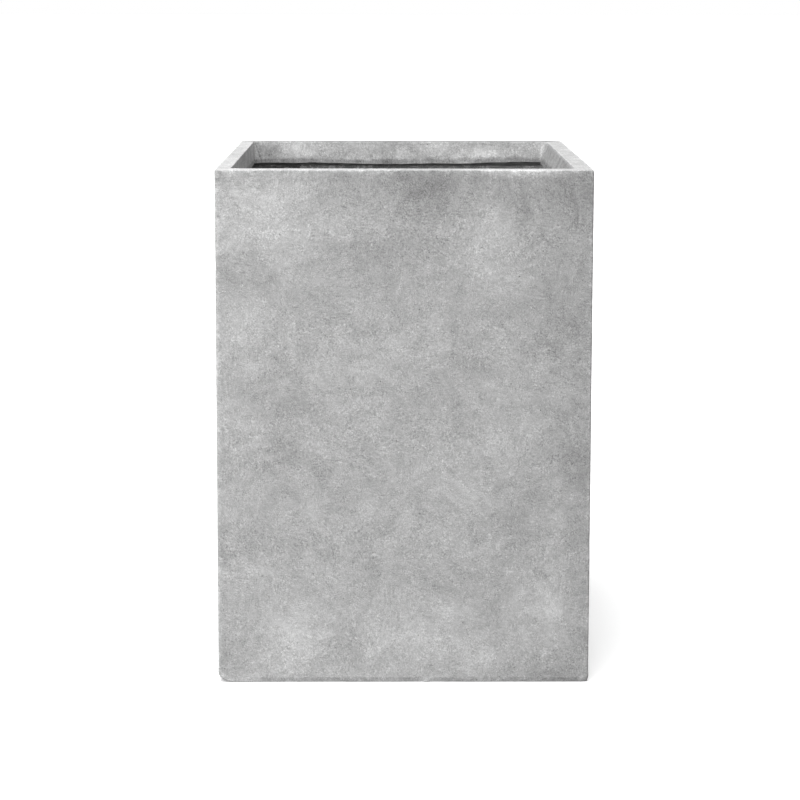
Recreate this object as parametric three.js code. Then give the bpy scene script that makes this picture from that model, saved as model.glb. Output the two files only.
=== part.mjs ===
// Tall square planter, laid up by hand in glass-fibre mat behind a cement-grey mineral coat.
// Millimetres, +Z up. The origin is the centre of the foot at floor level, and the front faces -Y.
// It is moulded rim down and leaves its mould foot first, so the walls and the lip both have draft.
// Its rings are sections swept round a rounded square, and its walls and strips are lofts.

import * as THREE from 'three';

// Outside of the moulding
const WIDTH = 450; // at the foot
const DEPTH = 450; // at the foot
const HEIGHT = 620;
const DRAFT = 6; // how far each wall leans in from foot to rim
const CORNER_RADIUS = 3.5; // upright outer edges
const RIM_EDGE_RADIUS = 1.5; // outer arris of the rim, rubbed down

// Facing coat
const COAT = 2;
const FOOT_LIFT = 0.9; // the coat stops this far above the floor
const FOOT_BEVEL_HEIGHT = 5.5; // the coat's lower arris is rubbed off
const FOOT_BEVEL_DEPTH = 1.4;

// Rim and lip
const RIM_WIDTH = 19; // flat top of the rim, front and back
const MOUTH_SHIFT = -1.6; // the mouth lies this far off centre in X, so the left rim is the narrower
const MOUTH_TILT = -4; // its block sat crooked, which shifts it this much more over LIP_DEPTH
const LIP_DEPTH = 29; // from the rim's top down to the trimmed edge
const LIP_LEAN = 5; // how far the lip's inner face comes in over LIP_DEPTH
const MOUTH_EDGE_RADIUS = 1; // inner arris of the rim
const MOUTH_CORNER_RADIUS = 6;
const CORE_LAP = 2; // the core stops this far above the lip's trimmed edge
const CORE_SAG = 4; // the core's underside hangs this far below the lip's edge at the wall
const CORE_SEAT = 2.5; // level band of the core's underside, beside the wall

// Laminate
const LAMINATE = 4.5;
const STRIP = 1.5; // corner reinforcement mat
const STRIP_LEG = 60;
const STRIP_FILLET = 8;

// Floor
const FLOOR_LIFT = 12; // underside of the floor above the ground
const FLOOR = 6;
const COVE_LEG = 15;
const COVE_TOE = 1; // thickness of the cove's edge on the floor

// Drain hole and plug
const DRAIN_BORE = 26;
const PLUG_TAIL = 6; // how far the plug's body shows below the floor
const PLUG_TAPER = 1; // how much the body's radius shrinks over its length
const PLUG_FLANGE = 38; // diameter
const PLUG_FLANGE_THICKNESS = 3;
const PLUG_KNOB = 13; // diameter
const PLUG_NECK = 9; // diameter
const PLUG_KNOB_HEIGHT = 9;
const PLUG_EDGE = 1; // rounded edges of the plug

// Clearances
const SKIN_GAP = 0.3; // between sloped or rounded faces that lie against each other
const PLUG_CLEARANCE = 0.4; // plug body to bore, all round

// Trimmed edges wander up and down in waves: how many go round the planter, and their height
const LIP_WAVES = [{ count: 5, height: 0.8 }, { count: 13, height: 0.7 }, { count: 22, height: 0.5 }];
const FOOT_WAVES = [{ count: 7, height: 0.3 }, { count: 17, height: 0.2 }];
const WAVE_SHIFT = 2; // radians from each wave to the next

// Fineness of the faceted surfaces
const SIDE_STEPS = 16;
const CORNER_STEPS = 6;
const ARRIS_STEPS = 4;
const ROUND_STEPS = 48;

const HALF_PI = Math.PI / 2;
const TIGHT_CORNER = 1; // radius of a ring that fills a square corner

// Insets that several pieces share, measured in from the outer face at the same height
const wallFace = COAT + SKIN_GAP;
const wallBack = wallFace + LAMINATE;
const insideWall = wallBack + SKIN_GAP; // where the core, strips, cove and floor begin

// Levels that several pieces share
const wallTop = HEIGHT - COAT;
const lipEnd = HEIGHT - LIP_DEPTH;
const coreEnd = lipEnd + CORE_LAP;
const coreBottom = lipEnd - CORE_SAG;
const floorTop = FLOOR_LIFT + FLOOR;
const coveTop = floorTop + COVE_LEG;

// Half the plan at height z, inset from the outer faces
function halfWidth(z, inset) {
  return WIDTH / 2 - DRAFT * z / HEIGHT - inset;
}

function halfDepth(z, inset) {
  return DEPTH / 2 - DRAFT * z / HEIGHT - inset;
}

// Radius of a corner that follows the outer one at an inset
function outerRadius(inset) {
  return Math.max(CORNER_RADIUS - inset, TIGHT_CORNER);
}

// How far in the lip's inner face lies at height z
function lipInset(z) {
  return RIM_WIDTH + LIP_LEAN * (HEIGHT - z) / LIP_DEPTH;
}

// How far off centre the mouth lies at height z
function mouthShift(z) {
  return MOUTH_SHIFT + MOUTH_TILT * (HEIGHT - z) / LIP_DEPTH;
}

// How far a hand-trimmed edge wanders up at a bearing round the planter
function wander(waves, bearing) {
  return waves.reduce(
    (sum, { count, height }, i) => sum + height * Math.sin(count * bearing + i * WAVE_SHIFT), 0);
}

// Section points of an elliptical arc about a centre: angle 0 is outward, and a quarter turn is up
function arc(inset, z, reachIn, reachUp, from, to) {
  return Array.from({ length: ARRIS_STEPS + 1 }, (_, i) => {
    const angle = from + (to - from) * i / ARRIS_STEPS;
    return { inset: inset - reachIn * Math.cos(angle), z: z + reachUp * Math.sin(angle) };
  });
}

// Stations of a rounded square, anticlockwise from the front right corner
function squareStations() {
  const list = [];
  for (let corner = 0; corner < 4; corner++) {
    for (let i = 0; i <= CORNER_STEPS; i++) {
      list.push({ corner, along: 0, angle: (corner - 1 + i / CORNER_STEPS) * HALF_PI });
    }
    for (let i = 1; i < SIDE_STEPS; i++) {
      list.push({ corner, along: i / SIDE_STEPS, angle: corner * HALF_PI });
    }
  }
  return list;
}

// Where a section's point lies at a station. shift moves its whole ring along X.
function ringPoint(station, { inset, z, radius, shift = 0 }) {
  const reachX = halfWidth(z, inset) - radius;
  const reachY = halfDepth(z, inset) - radius;
  const centres = [[reachX, -reachY], [reachX, reachY], [-reachX, reachY], [-reachX, -reachY]];
  const [x0, y0] = centres[station.corner];
  const [x1, y1] = centres[(station.corner + 1) % 4];
  return [
    x0 + (x1 - x0) * station.along + radius * Math.cos(station.angle) + shift,
    y0 + (y1 - y0) * station.along + radius * Math.sin(station.angle),
    z,
  ];
}

function solid(positions, index) {
  const geometry = new THREE.BufferGeometry();
  geometry.setAttribute('position', new THREE.Float32BufferAttribute(positions, 3));
  geometry.setIndex(index);
  return geometry;
}

// Sweeps a closed section round the square. sectionAt(bearing) lists the section's points, going up on
// the outer side and down on the inner side.
function sweepRound(sectionAt) {
  const rings = squareStations().map((station) => {
    const [x, y] = ringPoint(station, { inset: 0, z: 0, radius: CORNER_RADIUS });
    return sectionAt(Math.atan2(y, x)).map((point) => ringPoint(station, point));
  });
  const points = rings[0].length;
  const index = [];
  for (let s = 0; s < rings.length; s++) {
    const here = s * points;
    const next = ((s + 1) % rings.length) * points;
    for (let p = 0; p < points; p++) {
      const q = (p + 1) % points;
      index.push(here + p, next + p, here + q, next + p, next + q, here + q);
    }
  }
  return solid(rings.flat(2), index);
}

// Solid between the outlines at two heights. outlineAt(z) lists the same number of [x, y] each time.
function loft(outlineAt, low, high) {
  const points = outlineAt(low).map(([x, y]) => new THREE.Vector2(x, y));
  const clockwise = THREE.ShapeUtils.isClockWise(points);
  const level = (z) => {
    const outline = clockwise ? outlineAt(z).reverse() : outlineAt(z);
    return outline.flatMap(([x, y]) => [x, y, z]);
  };
  const count = points.length;
  const index = [];
  for (const [a, b, c] of THREE.ShapeUtils.triangulateShape(clockwise ? points.reverse() : points, [])) {
    index.push(a, c, b, count + a, count + b, count + c);
  }
  for (let i = 0; i < count; i++) {
    const j = (i + 1) % count;
    index.push(i, j, count + i, j, count + j, count + i);
  }
  return solid([...level(low), ...level(high)], index);
}

function piece(name, geometry, material) {
  const mesh = new THREE.Mesh(geometry, material);
  mesh.name = name;
  return mesh;
}

// Coat: up the outer face, over the rim, down the lip, and back inside against core and walls
function coatSection(bearing) {
  const foot = FOOT_LIFT + wander(FOOT_WAVES, bearing);
  const edge = lipEnd + wander(LIP_WAVES, bearing);
  const footArris = arc(FOOT_BEVEL_DEPTH, foot + FOOT_BEVEL_HEIGHT, FOOT_BEVEL_DEPTH, FOOT_BEVEL_HEIGHT,
    -HALF_PI, 0);
  const rimArris = arc(RIM_EDGE_RADIUS, HEIGHT - RIM_EDGE_RADIUS, RIM_EDGE_RADIUS, RIM_EDGE_RADIUS,
    0, HALF_PI);
  const mouthArris = arc(RIM_WIDTH - MOUTH_EDGE_RADIUS, HEIGHT - MOUTH_EDGE_RADIUS, MOUTH_EDGE_RADIUS,
    MOUTH_EDGE_RADIUS, HALF_PI, Math.PI);
  const outside = ({ inset, z }) => ({ inset, z, radius: outerRadius(inset) });
  const mouth = ({ inset, z }) => ({
    inset: inset + lipInset(z) - RIM_WIDTH,
    z,
    radius: MOUTH_CORNER_RADIUS + RIM_WIDTH - inset,
    shift: mouthShift(z),
  });
  return [
    outside({ inset: COAT, z: foot }),
    ...footArris.map(outside),
    ...rimArris.map(outside),
    ...mouthArris.map(mouth),
    mouth({ inset: RIM_WIDTH, z: edge }),
    mouth({ inset: RIM_WIDTH - COAT, z: edge }),
    mouth({ inset: RIM_WIDTH - COAT, z: wallTop }),
    outside({ inset: COAT, z: wallTop }),
  ];
}

// Core: fills the rim between the walls and the lip, with a hollow underside
function coreSection() {
  const radius = MOUTH_CORNER_RADIUS + COAT + SKIN_GAP;
  const lipSide = (z) => ({ inset: lipInset(z) - COAT - SKIN_GAP, z, radius, shift: mouthShift(z) });
  const tip = lipSide(coreEnd);
  const seat = insideWall + CORE_SEAT;
  const underside = Array.from({ length: ARRIS_STEPS + 1 }, (_, i) => {
    const reach = 1 - i / ARRIS_STEPS;
    const share = reach ** 2;
    return {
      inset: seat + (tip.inset - seat) * share,
      z: coreBottom + (coreEnd - coreBottom) * reach,
      radius: TIGHT_CORNER + (radius - TIGHT_CORNER) * share,
      shift: tip.shift * share,
    };
  });
  return [
    { inset: insideWall, z: coreBottom, radius: TIGHT_CORNER },
    { inset: insideWall, z: wallTop, radius: TIGHT_CORNER },
    lipSide(wallTop),
    ...underside,
  ];
}

// Cove: a hollow fillet of resin and glass between floor and walls
function coveSection() {
  const rise = COVE_LEG - COVE_TOE;
  const run = COVE_LEG - STRIP;
  const hollow = Array.from({ length: ARRIS_STEPS + 1 }, (_, i) => {
    const angle = HALF_PI * i / ARRIS_STEPS;
    const inset = insideWall + STRIP + run * (1 - Math.cos(angle));
    return { inset, z: coveTop - rise * Math.sin(angle), radius: STRIP_FILLET };
  });
  return [
    { inset: insideWall, z: floorTop, radius: TIGHT_CORNER },
    { inset: insideWall, z: coveTop, radius: TIGHT_CORNER },
    ...hollow,
    { inset: insideWall + COVE_LEG, z: floorTop, radius: STRIP_FILLET },
  ];
}

// Front and back walls run the full width, with their outer upright edges rounded under the coat
function crossWall(name, side, material) {
  const radius = outerRadius(wallFace);
  const outlineAt = (z) => {
    const half = halfWidth(z, wallFace);
    const face = halfDepth(z, wallFace);
    const back = halfDepth(z, wallBack);
    const rounded = Array.from({ length: ARRIS_STEPS + 1 }, (_, i) => {
      const angle = HALF_PI * i / ARRIS_STEPS;
      return [half - radius + radius * Math.cos(angle), face - radius + radius * Math.sin(angle)];
    });
    const right = [[half, back], ...rounded];
    const left = right.map(([x, y]) => [-x, y]).reverse();
    return [...right, ...left].map(([x, y]) => [x, side * y]);
  };
  return piece(name, loft(outlineAt, 0, wallTop), material);
}

// Side walls butt between the front and back walls
function sideWall(name, side, material) {
  const outlineAt = (z) => {
    const face = side * halfWidth(z, wallFace);
    const back = side * halfWidth(z, wallBack);
    const half = halfDepth(z, insideWall);
    return [[face, -half], [face, half], [back, half], [back, -half]];
  };
  return piece(name, loft(outlineAt, 0, wallTop), material);
}

// Mat over an inside corner, from the cove up to the core, smoothed round where the walls meet
function cornerStrip(name, sideX, sideY, material) {
  const bend = STRIP + STRIP_FILLET;
  const fillet = Array.from({ length: CORNER_STEPS + 1 }, (_, i) => {
    const angle = HALF_PI * i / CORNER_STEPS;
    return [bend - STRIP_FILLET * Math.sin(angle), bend - STRIP_FILLET * Math.cos(angle)];
  });
  const section = [
    [0, 0], [STRIP_LEG, 0], [STRIP_LEG, STRIP], ...fillet, [STRIP, STRIP_LEG], [0, STRIP_LEG],
  ];
  const outlineAt = (z) => section.map(([x, y]) => [
    sideX * (halfWidth(z, insideWall) - x),
    sideY * (halfDepth(z, insideWall) - y),
  ]);
  return piece(name, loft(outlineAt, coveTop, coreBottom), material);
}

// Floor with its drain hole
function basePanel(material) {
  const x = halfWidth(floorTop, insideWall);
  const y = halfDepth(floorTop, insideWall);
  const outline = new THREE.Shape([
    new THREE.Vector2(-x, -y), new THREE.Vector2(x, -y), new THREE.Vector2(x, y), new THREE.Vector2(-x, y),
  ]);
  const hole = new THREE.Path();
  hole.absarc(0, 0, DRAIN_BORE / 2, 0, Math.PI * 2, false);
  outline.holes.push(hole);
  const geometry = new THREE.ExtrudeGeometry(outline, {
    depth: 1, bevelEnabled: false, curveSegments: ROUND_STEPS / 2,
  });
  const position = geometry.attributes.position;
  for (let i = 0; i < position.count; i++) {
    position.setZ(i, position.getZ(i) > 0.5 ? floorTop : FLOOR_LIFT);
  }
  return piece('base_panel', geometry, material);
}

// Rubber stopper: tapered body, a flange that seats on the floor, and a necked knob to pull it by
function drainPlug(material) {
  const bodyTop = DRAIN_BORE / 2 - PLUG_CLEARANCE;
  const bodyEnd = bodyTop - PLUG_TAPER;
  const tailEnd = FLOOR_LIFT - PLUG_TAIL;
  const flange = PLUG_FLANGE / 2;
  const flangeTop = floorTop + PLUG_FLANGE_THICKNESS;
  const knob = PLUG_KNOB / 2;
  const knobTop = flangeTop + PLUG_KNOB_HEIGHT;
  const outline = [
    [0, tailEnd],
    [bodyEnd - PLUG_EDGE, tailEnd],
    [bodyEnd, tailEnd + PLUG_EDGE],
    [bodyTop, floorTop],
    [flange, floorTop],
    [flange, flangeTop - PLUG_EDGE],
    [flange - PLUG_EDGE, flangeTop],
    [PLUG_NECK / 2 + PLUG_EDGE, flangeTop],
    [PLUG_NECK / 2, flangeTop + PLUG_EDGE],
    [PLUG_NECK / 2, flangeTop + PLUG_KNOB_HEIGHT / 2],
    [knob, knobTop - 2 * PLUG_EDGE],
    [knob - PLUG_EDGE, knobTop],
    [0, knobTop],
  ];
  const profile = outline.map(([radius, z]) => new THREE.Vector2(radius, z));
  const geometry = new THREE.LatheGeometry(profile, ROUND_STEPS);
  geometry.rotateX(HALF_PI);
  return piece('drain_plug', geometry, material);
}

const coatLook = new THREE.MeshStandardMaterial({ color: 0xb8b8b8, roughness: 0.85, metalness: 0 });
const laminateLook = new THREE.MeshStandardMaterial({ color: 0x919191, roughness: 0.55, metalness: 0 });
const coreLook = new THREE.MeshStandardMaterial({ color: 0x858585, roughness: 0.7, metalness: 0 });
const rubberLook = new THREE.MeshStandardMaterial({ color: 0x1c1c1c, roughness: 0.55, metalness: 0 });

const planter = new THREE.Group();
planter.add(
  piece('facing_coat', sweepRound(coatSection), coatLook),
  piece('rim_core', sweepRound(coreSection), coreLook),
  crossWall('front_wall', -1, laminateLook.clone()),
  crossWall('back_wall', 1, laminateLook.clone()),
  sideWall('left_wall', -1, laminateLook.clone()),
  sideWall('right_wall', 1, laminateLook.clone()),
  cornerStrip('corner_strip_front_left', -1, -1, laminateLook.clone()),
  cornerStrip('corner_strip_front_right', 1, -1, laminateLook.clone()),
  cornerStrip('corner_strip_back_left', -1, 1, laminateLook.clone()),
  cornerStrip('corner_strip_back_right', 1, 1, laminateLook.clone()),
  basePanel(laminateLook.clone()),
  piece('base_cove', sweepRound(coveSection), coreLook.clone()),
  drainPlug(rubberLook),
);

export default planter;
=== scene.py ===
"""Looks of the tall square planter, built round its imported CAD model.

Shapes are worked out here in millimetres and written to Blender in metres, in the CAD frame: +Z up,
the foot centred on the origin, the photographed face towards -Y.
"""

import itertools
import math

import bpy
import numpy as np
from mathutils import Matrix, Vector


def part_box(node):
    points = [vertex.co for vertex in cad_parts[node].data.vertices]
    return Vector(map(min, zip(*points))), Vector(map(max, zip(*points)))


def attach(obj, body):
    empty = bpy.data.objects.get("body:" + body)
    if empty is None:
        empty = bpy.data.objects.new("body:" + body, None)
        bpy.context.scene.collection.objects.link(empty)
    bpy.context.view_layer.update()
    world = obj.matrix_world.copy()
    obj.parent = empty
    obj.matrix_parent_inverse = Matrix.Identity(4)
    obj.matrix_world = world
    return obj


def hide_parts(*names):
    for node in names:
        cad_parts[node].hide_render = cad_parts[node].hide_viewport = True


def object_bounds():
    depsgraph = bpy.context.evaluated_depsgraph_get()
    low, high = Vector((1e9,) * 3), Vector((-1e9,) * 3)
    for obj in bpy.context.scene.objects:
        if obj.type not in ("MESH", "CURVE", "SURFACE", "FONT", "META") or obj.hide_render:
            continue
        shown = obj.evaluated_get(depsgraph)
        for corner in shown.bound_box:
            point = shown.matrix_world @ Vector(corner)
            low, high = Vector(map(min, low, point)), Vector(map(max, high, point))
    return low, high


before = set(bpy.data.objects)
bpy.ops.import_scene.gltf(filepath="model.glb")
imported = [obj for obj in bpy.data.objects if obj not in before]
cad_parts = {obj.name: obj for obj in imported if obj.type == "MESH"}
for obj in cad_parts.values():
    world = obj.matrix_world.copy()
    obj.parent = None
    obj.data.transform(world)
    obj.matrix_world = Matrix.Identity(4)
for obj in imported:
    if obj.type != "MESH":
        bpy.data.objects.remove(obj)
cad_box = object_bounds()

MM = 0.001

# The moulding's sizes in millimetres, the same as the solids'
WIDTH = 450.0
HEIGHT = 620.0
DRAFT = 6.0
COAT = 2.0
RIM_WIDTH = 19.0
MOUTH_SHIFT = -1.6
MOUTH_TILT = -4.0
LIP_DEPTH = 29.0
LIP_LEAN = 5.0
LAMINATE = 4.5
SKIN_GAP = 0.3
CORE_SEAT = 2.5
STRIP = 1.5
STRIP_LEG = 60.0
STRIP_FILLET = 8.0
COVE_LEG = 15.0
COVE_TOE = 1.0
DRAIN_BORE = 26.0

WALL_FACE = COAT + SKIN_GAP
WALL_BACK = WALL_FACE + LAMINATE
INSIDE_WALL = WALL_BACK + SKIN_GAP
WALL_TOP = HEIGHT - COAT
LIP_END = HEIGHT - LIP_DEPTH
CORE_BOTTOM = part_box("rim_core")[0].z / MM
CORE_END = LIP_END + 2.0
FLOOR_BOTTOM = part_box("base_panel")[0].z / MM
FLOOR_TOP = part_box("base_panel")[1].z / MM
COVE_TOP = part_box("base_cove")[1].z / MM

# Corners are counted anticlockwise from the front right
CORNERS = np.array([[1, -1], [1, 1], [-1, 1], [-1, -1]], float)
FRONT_RIGHT, BACK_RIGHT, BACK_LEFT, FRONT_LEFT = range(4)
MOUTH_FLAT = (0.0, 0.0, 1.0, 0.0)  # the back left corner of the mouth is filled with a flat facet
CORNER_STEPS = 8
SIDE_STEP = 2.7  # spacing of the coat's stations along a side

# The wear of the foot's front left corner: its height, its depth at the ground and its reach back
WEAR_HIGH = 12.0
WEAR_DEEP = 22.0
WEAR_BACK = 36.0


# ---------------------------------------------------------------- numbers


def smooth(low, high, value):
    """0 below low, 1 above high, eased in between."""
    t = np.clip((value - low) / (high - low), 0, 1)
    return t * t * (3 - 2 * t)


def noise(points, size, seed):
    """Smooth noise from -1 to 1 at (..., 3) points, with lumps about size across."""
    scaled = np.asarray(points, float) / size + 31.7 * seed
    cell = np.floor(scaled).astype(np.int64)
    part = scaled - cell
    part = part * part * (3 - 2 * part)
    total = np.zeros(scaled.shape[:-1])
    for corner in itertools.product((0, 1), repeat=3):
        at = cell + corner
        mixed = (at[..., 0] * 73856093) ^ (at[..., 1] * 19349663) ^ (at[..., 2] * 83492791)
        with np.errstate(over="ignore"):  # only the low 32 bits are kept
            mixed = ((mixed ^ (mixed >> 13)) * 1274126177) & 0xFFFFFFFF
            mixed = ((mixed ^ (mixed >> 15)) * 2246822519) & 0xFFFFFFFF
        value = ((mixed ^ (mixed >> 16)) & 0xFFFF) / 32767.5 - 1
        weight = np.prod(np.where(corner, part, 1 - part), axis=-1)
        total += weight * value
    return total


def raised(points, size, seed):
    """The same noise from 0 to 1."""
    return 0.5 + 0.5 * noise(points, size, seed)


# ---------------------------------------------------------------- meshes


def make_mesh(name, points, faces, attributes=()):
    """A smooth-shaded mesh object from points in millimetres. Edges over 38 degrees stay sharp."""
    mesh = bpy.data.meshes.new(name)
    mesh.from_pydata((np.asarray(points) * MM).tolist(), [], faces)
    for label, kind, values in attributes:
        layer = mesh.attributes.new(label, kind, "POINT")
        layer.data.foreach_set("vector" if kind == "FLOAT_VECTOR" else "value", np.ravel(values))
    mesh.update()
    mesh.polygons.foreach_set("use_smooth", np.ones(len(mesh.polygons), bool))
    mesh.set_sharp_from_angle(angle=math.radians(38))
    made = bpy.data.objects.new(name, mesh)
    bpy.context.scene.collection.objects.link(made)
    return made


def closed_both_ways(rows, columns):
    """Quads of a grid that closes on itself along both directions."""
    here = np.arange(rows * columns).reshape(rows, columns)
    right = np.roll(here, -1, axis=1)
    up = np.roll(here, -1, axis=0)
    return np.stack([here, right, np.roll(up, -1, axis=1), up], axis=-1).reshape(-1, 4).tolist()


def slab(face, back, round_trip=False):
    """Points and quads of the solid between two (rows, columns, 3) grids. face looks outward with its
    columns running right and its rows running up. round_trip closes the columns on themselves."""
    rows, columns = face.shape[:2]
    count = rows * columns
    index = np.arange(count).reshape(rows, columns)
    near, far = (np.concatenate([g, g[:, :1]], axis=1) if round_trip else g for g in (index, index + count))
    quads = [
        np.stack([near[:-1, :-1], near[:-1, 1:], near[1:, 1:], near[1:, :-1]], axis=-1),
        np.stack([far[:-1, :-1], far[1:, :-1], far[1:, 1:], far[:-1, 1:]], axis=-1),
        np.stack([near[0, :-1], far[0, :-1], far[0, 1:], near[0, 1:]], axis=-1),
        np.stack([near[-1, :-1], near[-1, 1:], far[-1, 1:], far[-1, :-1]], axis=-1),
    ]
    if not round_trip:
        quads += [
            np.stack([near[:-1, 0], near[1:, 0], far[1:, 0], far[:-1, 0]], axis=-1),
            np.stack([near[:-1, -1], far[:-1, -1], far[1:, -1], near[1:, -1]], axis=-1),
        ]
    points = np.concatenate([face.reshape(-1, 3), back.reshape(-1, 3)])
    return points, np.concatenate([q.reshape(-1, 4) for q in quads]).tolist()


class Stations:
    """Places round a rounded square, anticlockwise from the front right corner."""

    def __init__(self, step):
        side_steps = round(WIDTH / step)
        corner, along, angle = [], [], []
        for c in range(4):
            for i in range(CORNER_STEPS + 1):
                corner.append(c)
                along.append(0.0)
                angle.append((c - 1 + i / CORNER_STEPS) * math.pi / 2)
            for i in range(1, side_steps):
                corner.append(c)
                along.append(i / side_steps)
                angle.append(c * math.pi / 2)
        self.corner = np.array(corner)
        self.along = np.array(along)
        angle = np.array(angle)
        self.count = len(corner)
        self.round_turn = np.stack([np.cos(angle), np.sin(angle)], axis=1)
        # The same turns with each corner's arc cut short by its chord
        first, last = (self.corner - 1) * math.pi / 2, self.corner * math.pi / 2
        share = np.where(self.along > 0, 1.0, (angle - first) / (math.pi / 2))[:, None]
        ends = [np.stack([np.cos(a), np.sin(a)], axis=1) for a in (first, last)]
        self.flat_turn = ends[0] * (1 - share) + ends[1] * share
        self.foot = self.ring(0.0, 0.0, (4.0,) * 4)

    def ring(self, inset, z, radii, shift=0.0, flat=(0, 0, 0, 0)):
        """Points at an inset from the outer faces and a height, which may differ from place to place.
        radii are those of the four corners, and flat says which of them are chamfers."""
        z = np.broadcast_to(np.asarray(z, float), (self.count,))
        half = WIDTH / 2 - DRAFT * z / HEIGHT - inset
        radii = np.asarray(radii, float)
        after = (self.corner + 1) % 4
        start = CORNERS[self.corner] * (half - radii[self.corner])[:, None]
        end = CORNERS[after] * (half - radii[after])[:, None]
        radius = radii[self.corner] + (radii[after] - radii[self.corner]) * self.along
        flat = np.asarray(flat, float)[self.corner][:, None]
        turn = self.round_turn * (1 - flat) + self.flat_turn * flat
        xy = start + (end - start) * self.along[:, None] + radius[:, None] * turn
        return np.column_stack([xy[:, 0] + shift, xy[:, 1], z])

    def near_corner(self, corner, reach):
        """1 at a corner of the foot, fading out over reach."""
        place = CORNERS[corner] * WIDTH / 2
        return np.exp(-((np.linalg.norm(self.foot[:, :2] - place, axis=1) / reach) ** 2))


def lip_inset(z):
    return RIM_WIDTH + LIP_LEAN * (HEIGHT - z) / LIP_DEPTH


def mouth_shift(z):
    return MOUTH_SHIFT + MOUTH_TILT * (HEIGHT - z) / LIP_DEPTH


def wear_corner(points):
    """Rounds off the foot's front left corner, by moving what is near it sideways."""
    low = (1 - points[..., 2] / WEAR_HIGH).clip(0, 1)
    deep = WEAR_DEEP * (1 - np.sqrt(1 - low**2))
    near = (1 - (points[..., 0] + WIDTH / 2) / 40).clip(0, 1)
    near = near * (1 - (points[..., 1] + WIDTH / 2) / WEAR_BACK).clip(0, 1) ** 2
    worn = points.copy()
    worn[..., 0] += deep * near
    return worn


# ---------------------------------------------------------------- coat


def ease_rows(length, first, grow, largest):
    """Shares from 0 to 1 whose spacing starts at first at both ends and grows towards the middle."""
    steps, step = [0.0], first
    while steps[-1] + step < length / 2:
        steps.append(steps[-1] + step)
        step = min(step * grow, largest)
    half = np.array(steps) / length
    return np.unique(np.concatenate([half, 1 - half]))


def chips(stations, count, seed, reach, depth):
    """Small bites out of an edge: how deep they are at each station."""
    rng = np.random.default_rng(seed)
    out = np.zeros(stations.count)
    for _ in range(count):
        place = stations.foot[rng.integers(stations.count)]
        size = rng.uniform(*reach)
        deep = rng.uniform(*depth)
        away = np.linalg.norm(stations.foot - place, axis=1)
        out = np.maximum(out, deep * np.exp(-((away / size) ** 2)))
    return out


def front_part(stations, low, high, fade):
    """1 along the front's foot between two x places, fading out beyond them."""
    x, y = stations.foot[:, 0], stations.foot[:, 1]
    inside = smooth(low - fade, low, x) * (1 - smooth(high, high + fade, x))
    return inside * (y < -WIDTH / 2 + 6)


def coat_foot(stations):
    """Height of the coat's lower edge, and height and depth of the worn bevel above it."""
    at = stations.foot
    lift = 0.45 + 0.2 * noise(at, 31, 3) + 0.1 * noise(at, 9, 4)
    high = 5.8 + 0.45 * noise(at, 45, 5) + 0.25 * noise(at, 8, 6)
    deep = 1.25 + 0.3 * noise(at, 26, 7)
    whole = front_part(stations, -225, -186, 10)
    blob = front_part(stations, 25, 30, 2.5)
    keep = 1 - 0.85 * np.maximum(whole, blob)
    other = np.maximum.reduce([stations.near_corner(c, 7) for c in (FRONT_RIGHT, BACK_RIGHT, BACK_LEFT)])
    bites = chips(stations, 46, 8, (2.5, 6.0), (0.3, 1.1))
    high = high * keep + 0.8 * other + bites
    deep = np.minimum(deep * keep + 0.6 * other + 0.5 * bites, COAT - 0.3)
    return np.maximum(lift - 0.3 * blob, 0.1), high, deep


def lip_edge(stations):
    """Height of the lip's hand-trimmed lower edge."""
    at = stations.foot
    x, back = at[:, 0], at[:, 1] > WIDTH / 2 - 6
    drop = 28.9 + 1.1 * noise(at, 120, 11) + 0.7 * noise(at, 34, 12)
    sag = 27.6 + 2.3 * np.exp(-(((x + 24) / 88) ** 2)) + 1.3 * np.exp(-(((x - 92) / 28) ** 2))
    sag = sag + 0.7 * smooth(140, 165, -x) - 0.8 * smooth(160, 185, x)
    drop = np.where(back, sag + 0.2 * noise(at, 40, 13), drop)
    return HEIGHT - drop - 0.35 * noise(at, 11, 14) - 0.25 * noise(at, 5, 15)


def outer_radii(inset=0.0):
    """Radii of the upright outer edges."""
    return np.maximum(np.array([2.6, 3.6, 3.6, 3.6]) - inset, 0.8)


def mouth_radii(depth_share, outward=0.0):
    """Radii of the mouth's corners. The back ones were filled upright, though the mouth is tilted."""
    radii = np.array([6.0, 8.5, 1.2, 5.0]) + np.array([2.0, -6.0, 9.0, 3.0]) * depth_share
    return radii + outward


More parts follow.
